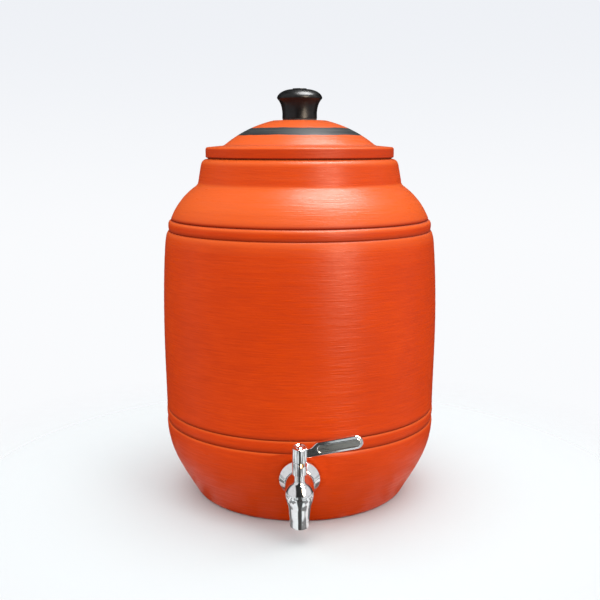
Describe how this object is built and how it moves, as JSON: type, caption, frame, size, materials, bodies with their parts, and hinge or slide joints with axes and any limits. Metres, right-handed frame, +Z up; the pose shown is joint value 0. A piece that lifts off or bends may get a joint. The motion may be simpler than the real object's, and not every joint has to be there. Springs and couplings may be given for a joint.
{
  "type": "lidded water jar with tap",
  "caption": "Round terracotta water jar with a domed lid, black knob and a quarter-turn chrome lever tap low on its front.",
  "frame": {"origin": "centre of the jar's flat foot, on the surface that it stands on", "axes": "+Z up along the jar's axis, -Y out of the tap's side, +X towards the lever's end when the tap is shut"},
  "size_m": [0.2608, 0.2932, 0.3846],
  "materials": {
    "terracotta": "matt",
    "black_phenolic": "semi-gloss",
    "chrome": "polished",
    "satin_chrome": "satin",
    "ball_chrome": "polished",
    "brass": "machined",
    "steel": "brushed",
    "black_rubber": "matt",
    "white_ptfe": "matt"
  },
  "bodies": {
    "jar": {"jar_body": "terracotta", "tap_body": "chrome", "tap_flange": "chrome", "outer_seal": "black_rubber", "inner_seal": "black_rubber", "inner_washer": "steel", "back_nut": "brass", "seat_retainer": "brass", "ball_seats": "white_ptfe", "bonnet": "chrome"},
    "lid": {"lid": "terracotta", "knob": "black_phenolic", "knob_cap": "black_phenolic", "knob_gasket": "black_rubber", "knob_bolt": "steel", "knob_washer": "steel", "knob_nut": "steel"},
    "valve": {"lever": "satin_chrome", "lever_screw": "steel", "lever_cap": "chrome", "stem": "brass", "valve_ball": "ball_chrome", "stem_o_ring": "black_rubber"}
  },
  "joints": [
    {"name": "lid_lift", "type": "slide", "parent": "jar", "child": "lid", "axis": [0, 0, 1], "range_m": [0, 0.12]},
    {"name": "valve_turn", "type": "hinge", "parent": "jar", "child": "valve", "pos_m": [0, -0.14833, 0.04623], "axis": [0, 0.1908, -0.9816], "range_deg": [0, 90]}
  ]
}
